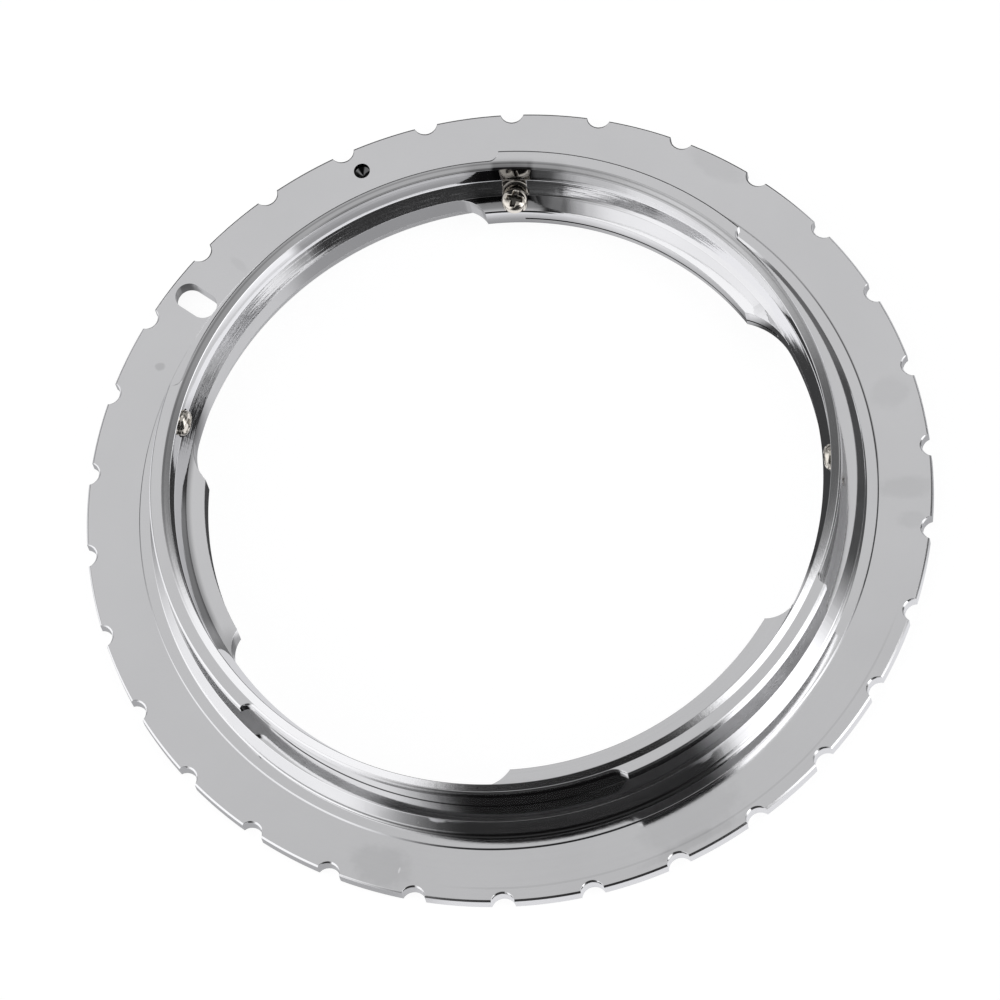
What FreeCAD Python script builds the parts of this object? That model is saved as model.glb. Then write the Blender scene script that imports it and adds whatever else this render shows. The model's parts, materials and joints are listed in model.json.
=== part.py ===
"""Lens mount adapter: a plated metal ring with a camera bayonet outside and a lens bayonet inside.

The ring lies on its lens side, on the plane Z = 0. Its axis is Z, and +Z points into the camera.
Angles run counter-clockwise from +X, seen from the camera side. Lengths are in millimetres.
"""

import FreeCAD, Part
import math
import os
import re

import Sketcher

UP = FreeCAD.Vector(0, 0, 1)
SIDEWAYS = FreeCAD.Vector(0, 1, 0)
CENTRE = FreeCAD.Vector(0, 0, 0)

# Driving sizes
SIZES = {
    # Radii, each from the register spigot outwards or inwards
    "spigot_radius": 27.0,
    "spigot_root": 0.1,
    "spigot_width": 1.75,
    "spigot_taper": 0.5,
    "seat_width": 0.85,
    "seat_bevel": 0.15,
    "flange_width": 4.0,
    "edge_break": 0.12,
    "lug_reach": 1.1,
    "collar_reach": 0.35,
    "neck_wall": 0.45,
    "bore_flare": 0.05,
    "bore_relief": 0.75,
    "rim_bevel_width": 0.64,
    "tab_reach": 1.4,
    "lens_recess_wall": 0.75,
    "lens_recess_chamfer": 0.2,
    # Heights, from the lens side up
    "flange_thickness": 1.3,
    "seat_height": 0.2,
    "spigot_height": 2.0,
    "spigot_taper_height": 1.05,
    "bayonet_gap": 2.6,
    "lug_thickness": 1.0,
    "rim_bevel_drop": 0.1,
    "lens_recess_depth": 1.88,
    "lip_thickness": 1.99,
    "lip_cove_height": 1.13,
    # Grip notches round the flange
    "notch_count": 30,
    "first_notch_angle": 8.12,
    "notch_cutter_radius": 0.92,
    "notch_depth": 0.65,
    # Lock slot and index mark in the flange
    "lock_slot_angle": 146.35,
    "lock_slot_half_width": 1.04,
    "lock_slot_travel": 1.42,
    "lock_slot_margin": 0.57,
    "index_angle": 114.7,
    "index_radius": 0.62,
    "index_inset": 2.0,
    "index_depth": 0.6,
    "drill_point_angle": 118.0,
    # Camera lugs, outwards on the neck
    "lug_1_centre": 71.0,
    "lug_1_sweep": 47.2,
    "lug_1_start_cutter": 0.8,
    "lug_2_centre": 195.1,
    "lug_2_sweep": 64.8,
    "lug_2_start_cutter": 0.8,
    "lug_3_centre": 316.5,
    "lug_3_sweep": 50.5,
    "lug_3_start_cutter": 1.5,
    "lug_end_cutter": 0.8,
    "lug_cut_clearance": 1.0,
    # Lens tabs, inwards on the lip
    "tab_1_centre": 65.25,
    "tab_1_sweep": 73.3,
    "tab_1_start_cutter": 5.3,
    "tab_2_centre": 193.15,
    "tab_2_sweep": 46.3,
    "tab_2_start_cutter": 4.2,
    "tab_3_centre": 302.7,
    "tab_3_sweep": 70.4,
    "tab_3_start_cutter": 2.9,
    "tab_end_cutter": 2.4,
    "tab_cut_clearance": 2.0,
    # Saw slit in the first tab, and the screw that sets its spring
    "slit_height": 0.77,
    "slit_width": 0.22,
    "slit_depth": 1.2,
    "slit_setback_angle": 1.6,
    "tension_screw_angle": 90.4,
    "tension_screw_inset": 0.85,
    "tension_shank_length": 1.7,
    "tension_cross_turn": -12.0,
    "scallop_radius": 0.8,
    "scallop_inset": 0.25,
    "scallop_1_offset": -2.2,
    "scallop_2_offset": 0.6,
    # Screws through the neck wall, heads inside the bore
    "stop_screw_1_angle": 169.4,
    "stop_screw_2_angle": 4.0,
    "stop_screw_drop": 1.4,
    "stop_seat_wall": 0.42,
    "stop_shank_setback": 0.05,
    "spot_face_radius": 1.1,
    "drill_breakout": 0.1,
    # The screws themselves
    "screw_head_radius": 0.92,
    "screw_head_height": 0.65,
    "screw_crown_width": 0.25,
    "screw_crown_height": 0.2,
    "screw_hole_radius": 0.5,
    "screw_clearance": 0.02,
    "screw_point_chamfer": 0.12,
    "cross_width": 0.26,
    "cross_length": 1.15,
    "cross_depth": 0.35,
}

# Radii and heights that follow from the sizes
RULES = {
    "spigot_top_radius": "spigot_radius - spigot_taper",
    "spigot_foot_radius": "spigot_radius + spigot_root",
    "seat_radius": "spigot_radius + seat_width",
    "seat_foot_radius": "seat_radius + seat_bevel",
    "flange_radius": "seat_foot_radius + flange_width",
    "neck_radius": "spigot_radius - spigot_width",
    "lug_radius": "neck_radius + lug_reach",
    "collar_radius": "neck_radius + collar_reach",
    "bore_top_radius": "neck_radius - neck_wall",
    "bore_foot_radius": "bore_top_radius - bore_flare",
    "lip_recess_radius": "bore_foot_radius - bore_relief",
    "tab_radius": "lip_recess_radius - tab_reach",
    "rim_edge_radius": "lug_radius - edge_break",
    "rim_bevel_radius": "bore_top_radius + rim_bevel_width",
    "lens_recess_radius": "neck_radius - lens_recess_wall",
    "lens_recess_mouth_radius": "lens_recess_radius + lens_recess_chamfer",
    "seat_level": "flange_thickness + seat_height",
    "spigot_top_level": "flange_thickness + spigot_height",
    "spigot_taper_level": "spigot_top_level - spigot_taper_height",
    "lug_level": "spigot_top_level + bayonet_gap",
    "rim_level": "lug_level + lug_thickness",
    "lip_top_level": "lens_recess_depth + lip_thickness",
    "slit_top_level": "lens_recess_depth + slit_height + slit_width / 2",
    "tension_screw_radius": "tab_radius + tension_screw_inset",
    "stop_screw_level": "rim_level - stop_screw_drop",
    "stop_seat_radius": "neck_radius - stop_seat_wall",
    "stop_shank_radius": "neck_radius - stop_shank_setback",
}

os.makedirs("parts", exist_ok=True)
doc = FreeCAD.newDocument("LensMountAdapter")


def fill_sheet(name, cells):
    """Make a sheet with a label, a value and an alias on each row."""
    sheet = doc.addObject("Spreadsheet::Sheet", name)
    for row, (alias, content) in enumerate(cells.items(), start=1):
        sheet.set(f"A{row}", alias)
        sheet.set(f"B{row}", content)
        sheet.setAlias(f"B{row}", alias)
    return sheet


def full(text):
    """Put its sheet's name before each size in an expression."""

    def with_sheet(word):
        name = word.group(0)
        if name in SIZES:
            return f"Sizes.{name}"
        if name in RULES:
            return f"Derived.{name}"
        return name

    return re.sub(r"[a-z][a-z0-9_]*", with_sheet, text)


def value(text):
    """The number that an expression in the sheets' words comes to."""
    return float(sizes_sheet.evalExpression(full(text)))


sizes_sheet = fill_sheet("Sizes", {name: str(size) for name, size in SIZES.items()})
derived_sheet = fill_sheet("Derived", {name: "=" + full(rule) for name, rule in RULES.items()})
doc.recompute()


def new_body(name):
    """A body whose label names its file."""
    body = doc.addObject("PartDesign::Body", name)
    body.Label = name
    return body


def new_sketch(body, name, plane, turn="0", level="0"):
    """A sketch on one of the body's origin planes, turned about Z and lifted along Z."""
    sketch = body.newObject("Sketcher::SketchObject", name)
    support = next(item for item in body.Origin.OriginFeatures if item.Role == plane)
    sketch.AttachmentSupport = [(support, "")]
    sketch.MapMode = "FlatFace"
    spin = UP if plane == "XY_Plane" else SIDEWAYS
    sketch.AttachmentOffset = FreeCAD.Placement(
        FreeCAD.Vector(0, 0, value(level)), FreeCAD.Rotation(spin, value(turn))
    )
    if level != "0":
        sketch.setExpression(".AttachmentOffset.Base.z", full(level))
    if turn != "0":
        sketch.setExpression(".AttachmentOffset.Rotation.Angle", f"({full(turn)}) * 1 deg")
    return sketch


def constrain(sketch, name, kind, *targets, size, unit=""):
    """Add a constraint that has a size, and bind the size to the sheets."""
    datum = math.radians(value(size)) if kind == "Angle" else value(size)
    index = sketch.addConstraint(Sketcher.Constraint(kind, *targets, datum))
    sketch.renameConstraint(index, name)
    sketch.setExpression(f"Constraints.{name}", f"({full(size)}){unit}")


def outline(body, name, corners):
    """A closed outline of straight lines on the XZ plane, from corners (radius, height)."""
    sketch = new_sketch(body, name, "XZ_Plane")
    points = [FreeCAD.Vector(value(radius), value(height), 0) for radius, height in corners]
    for start, end in zip(points, points[1:] + points[:1]):
        sketch.addGeometry(Part.LineSegment(start, end))
    for index, (radius, height) in enumerate(corners):
        before = (index - 1) % len(corners)
        sketch.addConstraint(Sketcher.Constraint("Coincident", before, 2, index, 1))
        if index > 0 and radius == corners[before][0]:
            sketch.addConstraint(Sketcher.Constraint("Vertical", before))
        elif radius == "0":
            sketch.addConstraint(Sketcher.Constraint("PointOnObject", index, 1, -2))
        else:
            constrain(sketch, f"radius_{index}", "DistanceX", -1, 1, index, 1, size=radius)
        if index > 0 and height == corners[before][1]:
            sketch.addConstraint(Sketcher.Constraint("Horizontal", before))
        elif height == "0":
            sketch.addConstraint(Sketcher.Constraint("PointOnObject", index, 1, -1))
        else:
            constrain(sketch, f"height_{index}", "DistanceY", -1, 1, index, 1, size=height)
    return sketch


def revolve(body, name, corners):
    """Turn an outline of straight lines about the body's Z axis."""
    sketch = outline(body, name + "_outline", corners)
    turned = body.newObject("PartDesign::Revolution", name)
    turned.Profile = sketch
    turned.ReferenceAxis = (sketch, ["V_Axis"])
    turned.Angle = 360
    sketch.Visibility = False
    return turned


def pocket(body, sketch, name, depth, along_normal=False):
    """Cut a sketch into the body, against the sketch's normal unless told otherwise."""
    cut = body.newObject("PartDesign::Pocket", name)
    cut.Profile = sketch
    cut.Length = value(depth)
    cut.setExpression("Length", full(depth))
    cut.Reversed = along_normal
    sketch.Visibility = False
    return cut


def circle_sketch(body, name, distance, radius, plane="XY_Plane", turn="0", level="0"):
    """A circle on the sketch's long axis, or up its height axis on an upright plane."""
    sketch = new_sketch(body, name, plane, turn, level)
    upright = plane != "XY_Plane"
    reach = value(distance)
    middle = FreeCAD.Vector(0, reach, 0) if upright else FreeCAD.Vector(reach, 0, 0)
    circle = sketch.addGeometry(Part.Circle(middle, UP, value(radius)))
    axis = -2 if upright else -1
    direction = "DistanceY" if upright else "DistanceX"
    sketch.addConstraint(Sketcher.Constraint("PointOnObject", circle, 3, axis))
    constrain(sketch, "distance", direction, -1, 1, circle, 3, size=distance)
    constrain(sketch, "radius", "Radius", circle, size=radius)
    return sketch


def plunge(body, name, distance, radius, turn, top, depth):
    """A round cutter sunk along Z, at a distance from the axis and an angle round it."""
    sketch = circle_sketch(body, name + "_outline", distance, radius, turn=turn, level=top)
    return pocket(body, sketch, name, depth)


def sector(body, name, inner, outer, start, sweep, top, depth):
    """Cut away the ring between two radii, over a sweep of angle and a depth."""
    sketch = new_sketch(body, name + "_outline", "XY_Plane", start, top)
    near, far, angle = value(inner), value(outer), math.radians(value(sweep))

    def point(radius, turn):
        return FreeCAD.Vector(radius * math.cos(turn), radius * math.sin(turn), 0)

    inner_arc = sketch.addGeometry(Part.ArcOfCircle(Part.Circle(CENTRE, UP, near), 0, angle))
    outer_arc = sketch.addGeometry(Part.ArcOfCircle(Part.Circle(CENTRE, UP, far), 0, angle))
    first = sketch.addGeometry(Part.LineSegment(point(near, 0), point(far, 0)))
    last = sketch.addGeometry(Part.LineSegment(point(near, angle), point(far, angle)))
    for arc, end in ((inner_arc, 1), (outer_arc, 2)):
        sketch.addConstraint(Sketcher.Constraint("Coincident", arc, 3, -1, 1))
        sketch.addConstraint(Sketcher.Constraint("Coincident", first, end, arc, 1))
        sketch.addConstraint(Sketcher.Constraint("Coincident", last, end, arc, 2))
    sketch.addConstraint(Sketcher.Constraint("PointOnObject", first, 1, -1))
    sketch.addConstraint(Sketcher.Constraint("PointOnObject", first, 2, -1))
    sketch.addConstraint(Sketcher.Constraint("PointOnObject", -1, 1, last))
    constrain(sketch, "inner", "Radius", inner_arc, size=inner)
    constrain(sketch, "outer", "Radius", outer_arc, size=outer)
    constrain(sketch, "sweep", "Angle", last, size=sweep, unit=" * 1 deg")
    return pocket(body, sketch, name, depth)


# The ring, turned in one piece: flange, seat, spigot, neck, bore and lip
ring = new_body("adapter_ring")
revolve(ring, "turned_ring", [
    ("lens_recess_mouth_radius", "0"),
    ("flange_radius - edge_break", "0"),
    ("flange_radius", "edge_break"),
    ("flange_radius", "flange_thickness - edge_break"),
    ("flange_radius - edge_break", "flange_thickness"),
    ("seat_foot_radius", "flange_thickness"),
    ("seat_radius", "seat_level"),
    ("spigot_foot_radius", "seat_level"),
    ("spigot_radius", "seat_level + spigot_root"),
    ("spigot_radius", "spigot_taper_level"),
    ("spigot_top_radius", "spigot_top_level"),
    ("neck_radius", "spigot_top_level"),
    ("neck_radius", "lug_level"),
    ("lug_radius", "lug_level"),
    ("lug_radius", "rim_level - edge_break"),
    ("rim_edge_radius", "rim_level"),
    ("rim_bevel_radius", "rim_level"),
    ("bore_top_radius", "rim_level - rim_bevel_drop"),
    ("bore_foot_radius", "lip_top_level + lip_cove_height"),
    ("lip_recess_radius", "lip_top_level"),
    ("tab_radius", "lip_top_level"),
    ("tab_radius", "lens_recess_depth"),
    ("lens_recess_radius", "lens_recess_depth"),
    ("lens_recess_radius", "lens_recess_chamfer"),
])

# Three gaps milled between the camera lugs, each end rounded by its cutter
TURNS = {("1", "2"): "0", ("2", "3"): "0", ("3", "1"): "360"}
for (lug, following), full_turn in TURNS.items():
    lug_end = f"lug_{lug}_centre + lug_{lug}_sweep / 2"
    next_start = f"lug_{following}_centre - lug_{following}_sweep / 2 + {full_turn}"
    sector(
        ring, f"lug_gap_{lug}", "collar_radius", "lug_radius + lug_cut_clearance",
        lug_end, f"{next_start} - ({lug_end})", "rim_level", "lug_thickness",
    )
    plunge(
        ring, f"lug_{lug}_end", "collar_radius + lug_end_cutter", "lug_end_cutter",
        lug_end, "rim_level", "lug_thickness",
    )
    start_cutter = f"lug_{following}_start_cutter"
    plunge(
        ring, f"lug_{following}_start", f"collar_radius + {start_cutter}", start_cutter,
        next_start, "rim_level", "lug_thickness",
    )

# Three recesses milled between the lens tabs, each end rounded by its cutter
for (tab, following), full_turn in TURNS.items():
    tab_end = f"tab_{tab}_centre + tab_{tab}_sweep / 2"
    next_start = f"tab_{following}_centre - tab_{following}_sweep / 2 + {full_turn}"
    sector(
        ring, f"tab_recess_{tab}", "tab_radius - tab_cut_clearance", "lip_recess_radius",
        tab_end, f"{next_start} - ({tab_end})", "lip_top_level", "lip_thickness",
    )
    plunge(
        ring, f"tab_{tab}_end", "lip_recess_radius - tab_end_cutter", "tab_end_cutter",
        tab_end, "lip_top_level", "lip_thickness",
    )
    start_cutter = f"tab_{following}_start_cutter"
    plunge(
        ring, f"tab_{following}_start", f"lip_recess_radius - {start_cutter}", start_cutter,
        next_start, "lip_top_level", "lip_thickness",
    )

# Saw slit that splits the first tab, from its start to just before the tension screw
slit_start = "tab_1_centre - tab_1_sweep / 2"
sector(
    ring, "spring_slit", "tab_radius - tab_cut_clearance", "tab_radius + slit_depth",
    slit_start, f"tension_screw_angle - slit_setback_angle - ({slit_start})",
    "slit_top_level", "slit_width",
)

# Tapped hole for the tension screw, and two passes down the bore that clear its head
plunge(
    ring, "tension_hole", "tension_screw_radius", "screw_hole_radius",
    "tension_screw_angle", "lip_top_level", "lip_thickness",
)
for scallop in ("1", "2"):
    plunge(
        ring, f"head_scallop_{scallop}", "lip_recess_radius + scallop_inset", "scallop_radius",
        f"tension_screw_angle + scallop_{scallop}_offset",
        "rim_level", "rim_level - lip_top_level",
    )

# Spot-face and tapped hole for each screw through the neck wall
STOP_SCREWS = ("1", "2")
for number in STOP_SCREWS:
    angle = f"stop_screw_{number}_angle"
    face = circle_sketch(
        ring, f"spot_face_{number}_outline", "stop_screw_level", "spot_face_radius",
        plane="YZ_Plane", turn=angle,
    )
    pocket(ring, face, f"spot_face_{number}", "stop_seat_radius", along_normal=True)
    drill = circle_sketch(
        ring, f"stop_hole_{number}_outline", "stop_screw_level", "screw_hole_radius",
        plane="YZ_Plane", turn=angle,
    )
    pocket(ring, drill, f"stop_hole_{number}", "neck_radius + drill_breakout", along_normal=True)

# Lock slot through the flange, with round ends
slot = new_sketch(ring, "lock_slot_outline", "XY_Plane", "lock_slot_angle", "seat_level")
slot_half = value("lock_slot_half_width")
slot_far = value("flange_radius - lock_slot_margin - lock_slot_half_width")
slot_near = slot_far - value("lock_slot_travel")
far_end = slot.addGeometry(Part.ArcOfCircle(
    Part.Circle(FreeCAD.Vector(slot_far, 0, 0), UP, slot_half), -math.pi / 2, math.pi / 2))
near_end = slot.addGeometry(Part.ArcOfCircle(
    Part.Circle(FreeCAD.Vector(slot_near, 0, 0), UP, slot_half), math.pi / 2, 3 * math.pi / 2))
upper_side = slot.addGeometry(Part.LineSegment(
    FreeCAD.Vector(slot_far, slot_half, 0), FreeCAD.Vector(slot_near, slot_half, 0)))
lower_side = slot.addGeometry(Part.LineSegment(
    FreeCAD.Vector(slot_near, -slot_half, 0), FreeCAD.Vector(slot_far, -slot_half, 0)))
slot.addConstraint(Sketcher.Constraint("Tangent", far_end, 2, upper_side, 1))
slot.addConstraint(Sketcher.Constraint("Tangent", upper_side, 2, near_end, 1))
slot.addConstraint(Sketcher.Constraint("Tangent", near_end, 2, lower_side, 1))
slot.addConstraint(Sketcher.Constraint("Tangent", lower_side, 2, far_end, 1))
slot.addConstraint(Sketcher.Constraint("PointOnObject", far_end, 3, -1))
slot.addConstraint(Sketcher.Constraint("PointOnObject", near_end, 3, -1))
constrain(slot, "half_width", "Radius", far_end, size="lock_slot_half_width")
constrain(slot, "travel", "DistanceX", near_end, 3, far_end, 3, size="lock_slot_travel")
constrain(
    slot, "far_centre", "DistanceX", -1, 1, far_end, 3,
    size="flange_radius - lock_slot_margin - lock_slot_half_width",
)
pocket(ring, slot, "lock_slot", "seat_level")

# Index mark, a blind drilled dimple in the flange
mark = circle_sketch(
    ring, "index_mark_outline", "flange_radius - index_inset", "index_radius",
    turn="index_angle", level="flange_thickness",
)
doc.recompute()
dimple = ring.newObject("PartDesign::Hole", "index_mark")
dimple.Profile = mark
dimple.DepthType = "Dimension"
dimple.Diameter = value("index_radius * 2")
dimple.setExpression("Diameter", full("index_radius * 2"))
dimple.Depth = value("index_depth")
dimple.setExpression("Depth", full("index_depth"))
dimple.DrillPoint = "Angled"
dimple.DrillPointAngle = value("drill_point_angle")
dimple.setExpression("DrillPointAngle", f"{full('drill_point_angle')} * 1 deg")
mark.Visibility = False

# Grip notches round the flange, one cutter pass repeated
notch = plunge(
    ring, "grip_notch", "flange_radius - notch_depth + notch_cutter_radius",
    "notch_cutter_radius", "first_notch_angle", "flange_thickness", "flange_thickness",
)
doc.recompute()
notches = ring.newObject("PartDesign::PolarPattern", "grip_notches")
notches.Originals = [notch]
notches.Axis = (notch.Profile[0], ["N_Axis"])
notches.Angle = 360
notches.Occurrences = int(value("notch_count"))
notches.setExpression("Occurrences", full("notch_count"))
ring.Tip = notches


def pan_head_screw(name, shank):
    """A small cross-recess screw about its own Z axis, from its point at Z = 0 up to its head."""
    body = new_body(name)
    shank_radius = "screw_hole_radius - screw_clearance"
    top = f"{shank} + screw_head_height"
    revolve(body, f"{name}_blank", [
        ("0", "0"),
        (f"{shank_radius} - screw_point_chamfer", "0"),
        (shank_radius, "screw_point_chamfer"),
        (shank_radius, shank),
        ("screw_head_radius", shank),
        ("screw_head_radius", f"{top} - screw_crown_height"),
        ("screw_head_radius - screw_crown_width", top),
        ("0", top),
    ])
    arm = new_sketch(body, f"{name}_arm_outline", "XY_Plane", level=top)
    half_length, half_width = value("cross_length / 2"), value("cross_width / 2")
    corners = [
        FreeCAD.Vector(-half_length, -half_width, 0),
        FreeCAD.Vector(half_length, -half_width, 0),
        FreeCAD.Vector(half_length, half_width, 0),
        FreeCAD.Vector(-half_length, half_width, 0),
    ]
    sides = [
        arm.addGeometry(Part.LineSegment(start, end))
        for start, end in zip(corners, corners[1:] + corners[:1])
    ]
    for side, following, direction in zip(
        sides, sides[1:] + sides[:1], ("Horizontal", "Vertical") * 2
    ):
        arm.addConstraint(Sketcher.Constraint("Coincident", side, 2, following, 1))
        arm.addConstraint(Sketcher.Constraint(direction, side))
    arm.addConstraint(Sketcher.Constraint("Symmetric", sides[0], 1, sides[1], 2, -1, 1))
    constrain(arm, "length", "DistanceX", sides[0], 1, sides[0], 2, size="cross_length")
    constrain(arm, "width", "DistanceY", sides[1], 1, sides[1], 2, size="cross_width")
    first_arm = pocket(body, arm, f"{name}_arm", "cross_depth")
    doc.recompute()
    cross = body.newObject("PartDesign::PolarPattern", f"{name}_cross")
    cross.Originals = [first_arm]
    cross.Axis = (arm, ["N_Axis"])
    cross.Angle = 90
    cross.Occurrences = 2
    body.Tip = cross
    return body


def place(body, distance, angle, height, turn):
    """Put a body at a distance and an angle round the ring's axis, and turn it."""
    position = f"vector(({distance}) * cos({angle}); ({distance}) * sin({angle}); {height})"
    body.setExpression("Placement", full(f"placement({position}; rotation({turn}))"))


# The tension screw stands on the first tab, with its head towards the camera
tension_screw = pan_head_screw("tension_screw", "tension_shank_length")
place(
    tension_screw, "tension_screw_radius", "tension_screw_angle",
    "lip_top_level - tension_shank_length", "tension_screw_angle + tension_cross_turn; 0; 0",
)

# The stop screws lie along the radius, with their heads towards the axis
screws = [tension_screw]
for number in STOP_SCREWS:
    stop_screw = pan_head_screw(f"stop_screw_{number}", "stop_shank_radius - stop_seat_radius")
    angle = f"stop_screw_{number}_angle"
    place(stop_screw, "stop_shank_radius", angle, "stop_screw_level", f"{angle}; -90; 0")
    screws.append(stop_screw)

doc.recompute()
for item in doc.Objects:
    if {"Invalid", "Error"} & set(item.State):
        raise RuntimeError(f"{item.Name} failed: {item.State}")
for body in [ring] + screws:
    if body.Shape.isNull() or not body.Shape.isValid():
        raise RuntimeError(f"{body.Label} has no valid solid")
    body.Shape.exportStep(f"parts/{body.Label}.step")
    print(body.Label, round(body.Shape.Volume, 2), "cubic mm,", len(body.Shape.Solids), "solid")
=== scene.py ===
"""Dressed model of a lens mount adapter, in metres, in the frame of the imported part.

The ring is one closed surface, worked out from its turned section and its milled outlines.
"""

import json
import math

import bmesh
import bpy
import numpy as np
from bpy.props import FloatProperty, FloatVectorProperty, IntProperty, PointerProperty
from mathutils import Matrix, Vector


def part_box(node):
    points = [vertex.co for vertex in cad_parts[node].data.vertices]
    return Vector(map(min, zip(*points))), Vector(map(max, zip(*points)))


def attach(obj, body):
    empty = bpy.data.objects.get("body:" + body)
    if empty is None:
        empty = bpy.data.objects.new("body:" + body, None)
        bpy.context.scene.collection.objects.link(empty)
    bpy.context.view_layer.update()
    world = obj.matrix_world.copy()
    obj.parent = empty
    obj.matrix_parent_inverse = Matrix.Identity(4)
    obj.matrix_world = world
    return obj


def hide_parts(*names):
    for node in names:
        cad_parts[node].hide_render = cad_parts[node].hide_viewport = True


bl_info = {
    "name": "Lens mount adapter",
    "version": (1, 0, 0),
    "blender": (4, 5, 0),
    "location": "3D View > Sidebar > Adapter",
    "description": "Makes a plated lens mount adapter ring, its screws and a studio stage",
    "category": "Object",
}

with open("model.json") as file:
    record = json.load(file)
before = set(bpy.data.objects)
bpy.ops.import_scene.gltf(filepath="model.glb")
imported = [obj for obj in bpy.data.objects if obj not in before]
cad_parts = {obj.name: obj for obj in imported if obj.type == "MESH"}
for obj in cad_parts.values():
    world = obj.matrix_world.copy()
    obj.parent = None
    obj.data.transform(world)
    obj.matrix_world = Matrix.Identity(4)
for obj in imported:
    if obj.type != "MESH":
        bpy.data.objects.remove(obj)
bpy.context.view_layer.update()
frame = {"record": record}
RING_LOW, RING_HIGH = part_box("adapter_ring")
MOUNTS = {mount["name"]: mount for mount in frame["record"]["mounts"]}

MM = 0.001
TURN = 360.0
WELD = 0.0001 * MM
DRILL_POINT = math.radians(118.0)
SMOOTH_ANGLE = math.radians(38.0)
SCREW_SMOOTH_ANGLE = math.radians(50.0)
LIFT_REACH = math.radians(8.0)
FLOOR_GAP = 0.02 * MM
FLOOR_SIZE = 3.0
CLIP_END = 10.0
HEAD_SQUARENESS = 3.2
ROUNDING_SHARE = 0.4

# Columns of the ring, in degrees: even steps, then closer ones at each notch (as shares of half
# its mouth), at the round ends of the lugs and tabs, over the dents and beside the slit's end
EVEN_STEP = 1.0
NOTCH_COLUMNS = (0.0, 0.2, 0.4, 0.6, 0.78, 0.9, 0.97, 1.0, 1.04)
END_COLUMNS = 15
END_STEP = 0.03
DENT_COLUMNS = 73
DENT_MARGIN = 2.0
SLIT_END_STEP = 0.01
ANGLE_DIGITS = 4

# Points round the cutters and the screws, and rows along a screw's head and shank
SLOT_STEPS = 96
DRILL_STEPS = 64
HOLE_STEPS = 48
SCREW_STEPS = 160
HEAD_ROWS = 72
SHANK_ROWS = 40

# The cross in a screw's head: where the wall of an arm begins and ends, as shares of half its
# width, and where the slope to its end begins, as a share of half its length
CROSS_WALL = (0.7, 1.3)
CROSS_SLOPE = 0.55


def length(name, description, millimetres):
    """A size that a user may change, shown in the scene's units."""
    return FloatProperty(
        name=name, description=description, default=millimetres * MM,
        unit="LENGTH", precision=6, soft_min=0.0,
    )


def angle(name, description, degrees):
    """An angle round the ring, from +X towards +Y, seen from the camera side."""
    return FloatProperty(
        name=name, description=description, default=math.radians(degrees), subtype="ANGLE",
    )


def number(name, description, value):
    """A plain number from 0 to 1 that a user may change."""
    return FloatProperty(name=name, description=description, default=value, min=0.0, max=1.0)


def colour(name, description, values):
    """A linear colour that a user may change."""
    return FloatVectorProperty(
        name=name, description=description, default=values, subtype="COLOR",
        size=3, min=0.0, max=1.0,
    )


class AdapterSection(bpy.types.PropertyGroup):
    """Radii and heights of the turned ring."""

    flange_radius: length("Flange radius", "Outside of the flange", RING_HIGH[0] / MM)
    flange_thickness: length("Flange thickness", "Lens face to camera-side face", 1.3)
    edge_break: length("Edge break", "Small chamfer on the flange and the lugs", 0.12)
    seat_height: length("Seat height", "Step of the camera seat above the flange", 0.2)
    seat_foot_radius: length("Seat foot radius", "Outside of the seat at its foot", 27.97)
    seat_radius: length("Seat radius", "Outside of the seat at its top", 27.9)
    spigot_radius: length(
        "Spigot radius", "Register that centres the ring in the camera",
        MOUNTS["register_spigot"]["dims"]["r_mm"],
    )
    spigot_root: length("Spigot root", "Small cone at the foot of the spigot", 0.1)
    spigot_taper_level: length("Taper level", "Height where the spigot begins to taper", 2.25)
    spigot_top_radius: length("Spigot top radius", "Outside of the spigot's flat top", 26.5)
    spigot_top_level: length("Spigot top level", "Height of the spigot's flat top", 3.3)
    neck_radius: length("Neck radius", "Outside of the neck between spigot and lugs", 25.25)
    lug_level: length("Lug level", "Height of the underside of the lugs", 5.9)
    rim_level: length("Rim level", "Height of the camera-side rim", RING_HIGH[2] / MM)
    rim_bevel_radius: length("Rim bevel radius", "Outside of the rim's inner bevel", 25.44)
    rim_bevel_drop: length("Rim bevel drop", "How far the bevel falls to the bore", 0.1)
    bore_top_radius: length("Bore top radius", "Bore at the rim", 24.8)
    bore_foot_radius: length("Bore foot radius", "Bore just above the cone", 24.75)
    cove_height: length("Cone height", "Height of the cone that leads to the lip", 1.13)
    lip_top_level: length("Lip top level", "Height of the camera side of the lip", 3.87)
    lip_under_level: length("Lip underside level", "Height of the lens side of the lip", 1.88)
    lens_recess_radius: length(
        "Lens recess radius", "Recess for the lens, under the lip",
        MOUNTS["lens_recess"]["dims"]["r_mm"],
    )
    lens_recess_chamfer: length("Lens recess chamfer", "Chamfer at the recess's mouth", 0.2)
    tab_recess_gap: length("Cutter start", "Where a radial cutter starts, in the bore", 24.0)
    corner: length("Corner", "Width of the rounding on the turned corners", 0.035)
    bore_corner: length("Bore corner", "Width of the rounding at the bore's edge", 0.07)


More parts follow.
